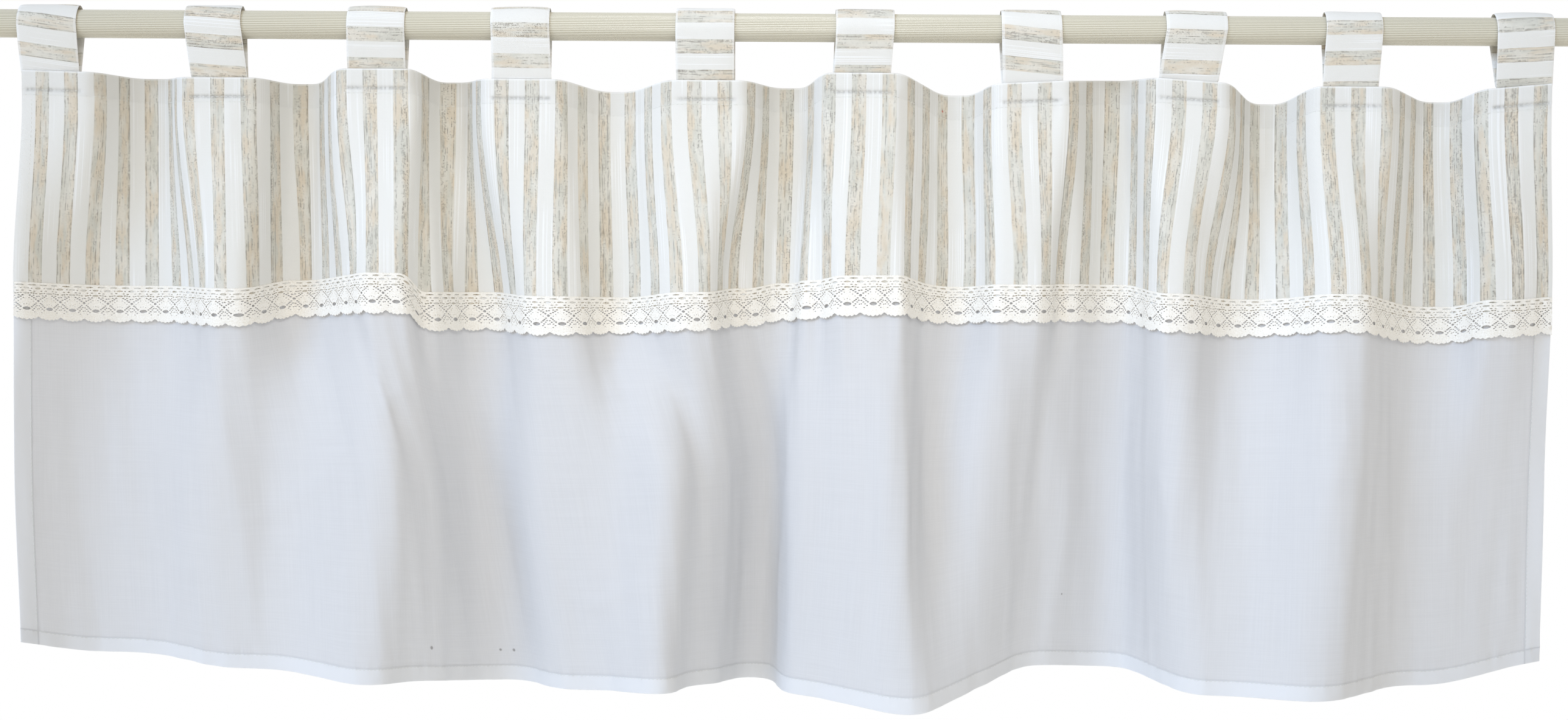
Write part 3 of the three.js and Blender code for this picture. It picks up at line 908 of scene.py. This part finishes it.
def makeStripedPanel():
    d, width = stripedPanel, curtain["clothWidth"]
    down = turnedHem(0, 1, d["headingTurn"], d["plyGap"], 2)
    down += [(v, 0) for v in (1, 3, 6, 9, 11.2, 12.4, 13.1, 13.8, 14.5, 15.2, 16.4, 18, 19.6, 22)]
    down += [(v, 0) for v in np.linspace(25, curtain["stripedEnd"], 36)]
    piece, size = clothSheet("striped_cloth", acrossPlaces(d), down, d["thickness"])
    piece.data.materials.append(striped)
    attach(piece, "root")
    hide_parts("striped_panel")
    front, half = d["thickness"] / 2, curtain["seat"] / 2
    rows = [([(2, 17.5), (width - 2, 17.5)], front)]
    groove = ripples["grooveDrop"]
    rows += [([(m - half, groove), (m + half, groove)], front) for m in tabMiddles]
    rows += [([(a, 20), (a, 150)], front) for a in (7.5, width - 7.5)]
    seams = makeStitches("heading_stitches", rows)
    return piece


# The sheer panel

sheerPanel = {
    "thickness": 0.3,
    "plyGap": 0.55,
    "behind": -0.95,  # it hangs this far behind the middle of the striped cloth
    "sideTurn": 14,
    "hemTurn": 11.5,
    "acrossStep": 3,
}


def makeSheerPanel():
    d, width = sheerPanel, curtain["clothWidth"]
    down = [(v, 0) for v in np.linspace(curtain["sheerTop"], 428, 55)]
    down += [(v, 0) for v in (431, 433.5, 436, 439, 442, 444)]
    down += list(reversed(turnedHem(curtain["hem"], -1, d["hemTurn"], d["plyGap"], 2)))
    down = [(place, step + d["behind"]) for place, step in down]
    piece, size = clothSheet("sheer_cloth", acrossPlaces(d), down, d["thickness"])
    piece.data.materials.append(sheer)
    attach(piece, "root")
    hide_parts("sheer_panel")
    front = d["behind"] + d["thickness"] / 2
    hemLine = curtain["hem"] - d["hemTurn"] + 1.2
    rows = [([(2, hemLine), (width - 2, hemLine)], front)]
    rows += [([(a, 185), (a, hemLine)], front) for a in (d["sideTurn"] - 1.2, width - d["sideTurn"] + 1.2)]
    seams = makeStitches("sheer_stitches", rows)
    return piece


# The lace

lace = {
    "repeat": 18,
    "thickness": 0.45,
    "standOff": 0.6,
    "standOffBelow": 0.9,  # its scallops hang this much freer than its top
    "wobble": 0.25,
    "depth": 29.2,
    "holesApart": 0.9,
    "seed": 11,
}

# one repeat, from one notch to the next: the lower edge, then its holes as middle, half width and half height
scallopEdge = [(0, 26.2), (1.2, 26.8), (2.2, 27.6), (3.0, 28.1), (4.0, 27.5), (5.0, 28.3)]
scallopEdge += [(6.0, 28.7), (7.0, 28.0), (8.0, 28.6), (9.0, 29.0), (10.0, 28.5), (11.0, 28.0)]
scallopEdge += [(12.0, 28.7), (13.0, 28.3), (14.0, 27.5), (15.0, 28.1), (15.9, 27.6), (16.9, 26.8)]
laceHoles = [
    (4.5, 2.0, 2.5, 0.5),
    (13.5, 2.0, 2.5, 0.5),
    (0, 4.6, 2.3, 0.7),
    (9, 4.4, 2.1, 0.55),
    (9, 8.4, 2.2, 0.75),
    (0, 14.1, 1.1, 0.9),
    (9, 20.1, 2.6, 1.2),
]
laceRows = [
    # small lozenges in slanting rows: from, to, how many, half width, half height
    (6.4, 9.9, 1.9, 12.8, 4, 0.85, 0.5),
    (5.0, 4.4, 4.6, 4.4, 1, 0.6, 0.35),
    (6.2, 6.4, 3.0, 6.6, 2, 0.9, 0.42),
    (5.2, 8.0, 1.6, 8.6, 3, 0.85, 0.45),
    (3.6, 9.9, 0.9, 10.7, 2, 0.8, 0.42),
    (1.9, 15.9, 5.1, 19.0, 4, 0.8, 0.5),
    (0.9, 17.8, 4.4, 21.4, 4, 0.75, 0.45),
    (0.7, 20.4, 2.8, 22.8, 2, 0.6, 0.35),
    (7.0, 11.9, 3.5, 14.6, 3, 0.5, 0.32),
    (7.3, 17.0, 9.0, 16.6, 2, 0.4, 0.25),
]


def laceNet():
    # the rows and their mirrored twins, but no hole that sits on another
    holes = []
    for x1, y1, x2, y2, count, halfWidth, halfHeight in laceRows:
        for share in np.linspace(0, 1, count):
            x, y = mix(x1, x2, share), mix(y1, y2, share)
            for along in (x, lace["repeat"] - x):
                if all(math.hypot(along - h[0], y - h[1]) > lace["holesApart"] for h in holes):
                    holes.append((along, y, halfWidth, halfHeight))
    return holes


def laceTile():
    # one repeat cut from three, so that its sides meet the next one's
    random = np.random.default_rng(lace["seed"])
    width = lace["repeat"]
    holes = [(*hole, random.uniform(-0.15, 0.15, 3)) for hole in laceHoles + laceNet()]
    edgeJog = random.uniform(-0.04, 0.04, (len(scallopEdge), 2))
    fillJog = random.uniform(-0.3, 0.3, (60, 2))
    fill = [(2.6, 25.2), (5.2, 24.9), (9.0, 23.6), (9.0, 26.4), (12.8, 24.9), (15.4, 25.2)]
    fill += [(5.6, 26.8), (12.4, 26.8), (9.0, 11.6), (7.4, 14.2), (10.6, 14.2), (9.0, 13.6)]
    fill += [(9.0, 15.2), (0.3, 22.6), (6.5, 16.2), (11.5, 16.2)]
    points, loops = [], []
    for turn in (-1, 0, 1):
        shift = turn * width
        for x, y, halfWidth, halfHeight, jog in holes:
            sides = 12 if halfWidth > 1.5 else (8 if halfWidth > 0.5 else 5)
            loop = []
            for k in range(sides):
                a = 2 * math.pi * (k + 0.13) / sides
                pinch = abs(math.cos(a)) ** 1.6 * (0.12 if halfWidth > 1.5 else 0)
                loop.append(len(points))
                points.append(
                    (
                        x + jog[0] + shift + halfWidth * math.cos(a) * (1 + pinch),
                        y + jog[1] + halfHeight * (1 + jog[2]) * math.sin(a) * (1 - pinch),
                    )
                )
            loops.append(loop)
        for (x, y), jog in zip(fill, fillJog):
            points.append((x + shift + jog[0], y + jog[1]))
    first = len(points)
    for turn in (-1, 0, 1):
        for (x, y), jog in zip(scallopEdge, edgeJog):
            points.append((x + turn * width + jog[0], y + jog[1]))
    points.append((2 * width + edgeJog[0][0], scallopEdge[0][1] + edgeJog[0][1]))
    top = list(np.arange(2 * width, -width - 0.1, -2.0))
    for x in top:
        points.append((x, 0.02 * math.sin(x * 2.0 * math.pi / width)))
    outline = list(range(first, len(points)))
    made, _, triangles, *_ = delaunay_2d_cdt([Vector(p) for p in points], [], [outline] + loops, 1, 1e-5)
    made = np.array([tuple(p) for p in made])
    kept = []
    for triangle in triangles:
        if len(triangle) != 3:
            continue
        middle = made[list(triangle)].mean(axis=0)
        if not 0 <= middle[0] < width:
            continue
        if any(insideLoop(middle, [points[k] for k in loop]) for loop in loops):
            continue
        kept.append(tuple(triangle))
    used = sorted({k for triangle in kept for k in triangle})
    number = {k: i for i, k in enumerate(used)}
    return made[used], [tuple(number[k] for k in triangle) for triangle in kept]


def insideLoop(point, loop):
    inside = False
    for (x1, y1), (x2, y2) in zip(loop, loop[1:] + loop[:1]):
        if (y1 > point[1]) != (y2 > point[1]) and point[0] < (x2 - x1) * (point[1] - y1) / (y2 - y1) + x1:
            inside = not inside
    return inside


def laceRise(down):
    return lace["standOff"] + lace["standOffBelow"] * smooth(np.asarray(down) / 30) ** 1.5


def makeLace():
    tile, triangles = laceTile()
    repeats = math.ceil(curtain["clothWidth"] / lace["repeat"])
    places, faces, known = [], [], {}
    for turn in range(repeats):
        numbers = []
        for x, y in tile:
            place = (min(x + turn * lace["repeat"], curtain["clothWidth"]), y)
            key = (round(place[0], 3), round(y, 3))
            if key not in known:
                known[key] = len(places)
                places.append(place)
            numbers.append(known[key])
        for triangle in triangles:
            a, b, c = (numbers[k] for k in triangle)
            if len({a, b, c}) == 3:
                faces.append((a, b, c))
    places = np.array(places)
    along = np.clip(places[:, 0], 0, curtain["clothWidth"])
    along = along + lace["wobble"] * np.sin(along / 23.0) * np.sin(along / 7.1)
    drop = curtain["laceTop"] + places[:, 1] + lace["wobble"] * np.sin(along / 31.0 + 1)
    points = onCloth(np.clip(along, 0, curtain["clothWidth"]), drop, laceRise(places[:, 1]))
    flat = places[faces]
    turn = np.cross(flat[:, 1] - flat[:, 0], flat[:, 2] - flat[:, 0])
    faces = [f if t < 0 else (f[0], f[2], f[1]) for f, t in zip(faces, turn)]
    piece = newPiece("lace_edging", points, faces, places)
    finishWith(piece, "SOLIDIFY", thickness=lace["thickness"] * mm, offset=0, use_even_offset=False)
    smoothByAngle(piece, 75)
    piece.data.materials.append(cotton)
    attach(piece, "root")
    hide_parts("lace_trim")
    return piece


# The ten tabs

tabs = {
    "thickness": 1.5,
    "clearance": 0.55,
    "creaseRise": 1.9,
    "creaseSpan": 50,
    "tail": 16,
    "tailY": -1.2,
    "tailWidth": 38,
    "widthPoints": 15,
    "firstLane": 1000,  # each tab has its own lane of the striped cloth's flat places
    "laneWidth": 60,
}

tabColumns = "x lean width bandZ slant".split()
tabRows = [
    (-539, 0, 43, -21.1, 0.14),
    (-418, 2.5, 41, -12.9, 0.07),
    (-299, -0.5, 42.5, -6.9, 0.02),
    (-194, 0, 43.5, -4.1, 0.01),
    (-59, 0.5, 42.5, -14.3, 0.0),
    (57.5, -1.5, 42.5, -10.6, 0.0),
    (179, 2, 44, -5.5, 0.1),
    (300.5, -4.5, 44.5, -5.7, 0.02),
    (415, 0, 41, -20.0, -0.02),
    (539.5, 2.5, 42, -16.7, -0.06),
]


def cornerCut(line, times):
    for _ in range(times):
        inner = np.stack([line[:-1] * 0.75 + line[1:] * 0.25, line[:-1] * 0.25 + line[1:] * 0.75], axis=1)
        line = np.concatenate([line[:1], inner.reshape(-1, 2), line[-1:]])
    return line


def tabRoute(headingZ):
    # the middle of the strip in the YZ plane: up the front leg, over the rod and down the back leg
    d = tabs
    ply = d["thickness"] / 2 + 0.2
    bend = d["clearance"] + d["thickness"] / 2 + rod["radius"]

    def over(degrees):
        a = math.radians(degrees)
        radius = bend + d["creaseRise"] * max(0, 1 - abs(degrees) / d["creaseSpan"])
        return (-radius * math.sin(a), radius * math.cos(a))

    def leg(side):
        y = d["tailY"] + side * ply
        return [(y, headingZ - d["tail"]), (y, headingZ - 1), (y + side * 1.2, headingZ + 2)]

    arc = [over(degrees) for degrees in range(105, -106, -15)]
    return cornerCut(np.array(leg(-1) + arc + leg(1)[::-1], float), 3)


def makeTab(number, row, headingZ):
    d, tab = tabs, dict(zip(tabColumns, row))
    route = tabRoute(headingZ)
    lengths = clothAlong(route)
    samples = np.linspace(0, lengths[-1], 96)
    line = np.stack([np.interp(samples, lengths, route[:, axis]) for axis in range(2)], axis=1)
    ahead = np.gradient(line, axis=0)
    ahead /= np.linalg.norm(ahead, axis=1, keepdims=True)
    out = np.stack([-ahead[:, 1], ahead[:, 0]], axis=1)
    frontLeg = np.argmin(np.abs(line[: len(line) // 2, 1] - tab["bandZ"]))
    random = np.random.default_rng(100 + number)
    sway = random.uniform(0, 6.28, 4)
    n = d["widthPoints"]
    shares = np.sin(np.linspace(-math.pi / 2, math.pi / 2, n))
    section = [(s, 1) for s in shares] + [(s, -1) for s in shares[::-1]]
    vertices, places = [], []
    for i, (y, z) in enumerate(line):
        tail = smooth((headingZ - 1 - z) / 5)
        width = mix(tab["width"], d["tailWidth"], tail) + 0.5 * math.sin(samples[i] / 19 + sway[0])
        drift = tab["lean"] * max(0, z / headingZ) + 0.5 * math.sin(samples[i] / 31 + sway[1])
        for share, side in section:
            edge = (1 - abs(share) ** 5) ** 0.5 if abs(share) < 1 else 0
            belly = 0.35 * math.sin(share * 2.4 + sway[2]) * math.sin(samples[i] / 24 + sway[3]) * (1 - tail)
            rise = side * d["thickness"] / 2 * edge + belly
            x = tab["x"] + drift + share * width / 2
            vertices.append((x * mm, (y + out[i, 0] * rise) * mm, (z + out[i, 1] * rise) * mm))
            across = samples[i] - samples[frontLeg] + tab["slant"] * share * width / 2
            across += linen["bandMiddle"] + linen["bandPitch"] * 20 * number
            places.append((across, share * width / 2 + d["firstLane"] + d["laneWidth"] * number))
    per = len(section)
    faces = []
    for i in range(len(line) - 1):
        for k in range(per):
            a, b = i * per + k, i * per + (k + 1) % per
            faces.append((a, b, b + per, a + per))
    faces.append(tuple(range(per - 1, -1, -1)))
    faces.append(tuple(range((len(line) - 1) * per, len(line) * per)))
    name = f"tab_{number + 1:02d}_cloth"
    piece = newPiece(name, vertices, faces, places)
    choose(piece)
    bpy.ops.object.mode_set(mode="EDIT")
    bpy.ops.mesh.select_all(action="SELECT")
    bpy.ops.mesh.remove_doubles(threshold=0.000005)
    bpy.ops.mesh.normals_make_consistent(inside=False)
    bpy.ops.object.mode_set(mode="OBJECT")
    smoothByAngle(piece, 60)
    piece.data.materials.append(striped)
    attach(piece, "root")
    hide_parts(f"tab_{number + 1:02d}")
    tab["width"] * mm
    return piece


def makeTabs():
    seats = [fold for fold in folds if "tab" in fold["fold"]]
    for number, (row, fold) in enumerate(zip(tabRows, seats)):
        makeTab(number, row, fold["headZ"] + abs(fold["rise"]) / 2)


makeRod()
print("rod made")
striped, sheer, cotton, thread = linenMaterial(), voileMaterial(), laceMaterial(), threadMaterial()
print("materials made")
makeStripedPanel()
makeSheerPanel()
makeLace()
makeTabs()
print("cloth made")


# Floor, light and camera

studio = {
    "floorZ": -750,
    "floorReach": 16000,
    "fadeFrom": 0.5,
    "fadeTo": 1.1,
    "backdrop": tint(255, 255, 255),
    "worldLeft": tint(240, 240, 240),
    "worldRight": tint(194, 191, 184),
    "keyFrom": (-0.66, -0.57, 0.49),
    "keyPower": 1.35,
    "keyAngle": 24,
    "keyColour": (0.42, 0.64, 1.0),
    "frontPlace": (-0.02, -1.45, 0.95),
    "frontRadius": 0.3,
    "frontCone": 48,
    "frontPower": 42,
}

camera = {
    "place": (0, -1700, -155),
    "tilt": 3.0,
    "roll": 0.33,
    "lens": 3783 / 2576 * 36,
}


def makeStage():
    bpy.ops.object.select_all(action="DESELECT")
    bpy.ops.mesh.primitive_circle_add(
        vertices=96,
        radius=studio["floorReach"] * mm,
        fill_type="NGON",
        location=(0, 0, studio["floorZ"] * mm),
    )
    floor = bpy.context.object
    floor.name = "studio_floor"
    material, start, shader = newMaterial("pale_floor", {"Base Color": tint(245, 245, 243), "Roughness": 0.9})
    place = start.node("TexCoord", output=3)
    distance = start.node("VectorMath", {"operation": "LENGTH"}, {0: place}, output=1)
    glow = start.node("Emission", inputs={"Color": studio["backdrop"], "Strength": 1.0})
    fade = distance.step(studio["fadeFrom"], studio["fadeTo"])
    endInMix(start, shader, fade, glow)
    floor.data.materials.append(material)
    world = bpy.data.worlds.new("studio")
    bpy.context.scene.world = world
    world.use_nodes = True
    background = world.node_tree.nodes["Background"]
    sky = Wire(world.node_tree)
    way = sky.node("TexCoord")
    side = sky.node("SeparateXYZ", inputs={0: way})
    lit = side.step(-0.6, 0.9).blend(studio["worldLeft"], studio["worldRight"])
    seen = sky.node("LightPath").blend(lit, studio["backdrop"])
    world.node_tree.links.new(seen.socket, background.inputs[0])


def makeLights():
    bpy.ops.object.light_add(type="SUN", location=Vector(studio["keyFrom"]))
    key = bpy.context.object
    key.data.energy = studio["keyPower"]
    key.data.angle = math.radians(studio["keyAngle"])
    key.data.color = studio["keyColour"]
    key.rotation_euler = (-Vector(studio["keyFrom"])).to_track_quat("-Z", "Y").to_euler()
    bpy.ops.object.light_add(type="SPOT", location=studio["frontPlace"])
    front = bpy.context.object
    front.data.energy = studio["frontPower"]
    front.data.shadow_soft_size = studio["frontRadius"]
    front.data.spot_size = math.radians(studio["frontCone"])
    front.data.spot_blend = 1.0
    aim = Vector((0, 0, camera["place"][2] * mm)) - Vector(studio["frontPlace"])
    front.rotation_euler = aim.to_track_quat("-Z", "Y").to_euler()


def makeCamera():
    bpy.ops.object.camera_add(location=Vector(camera["place"]) * mm)
    eye = bpy.context.object
    eye.data.sensor_width = 36
    eye.data.lens = camera["lens"]
    eye.rotation_euler = (math.radians(90 - camera["tilt"]), 0, 0)
    eye.rotation_euler.rotate_axis("Z", math.radians(camera["roll"]))
    bpy.context.scene.camera = eye


makeStage()
makeLights()
makeCamera()
bpy.context.scene.view_settings.view_transform = "Standard"
print("studio made")
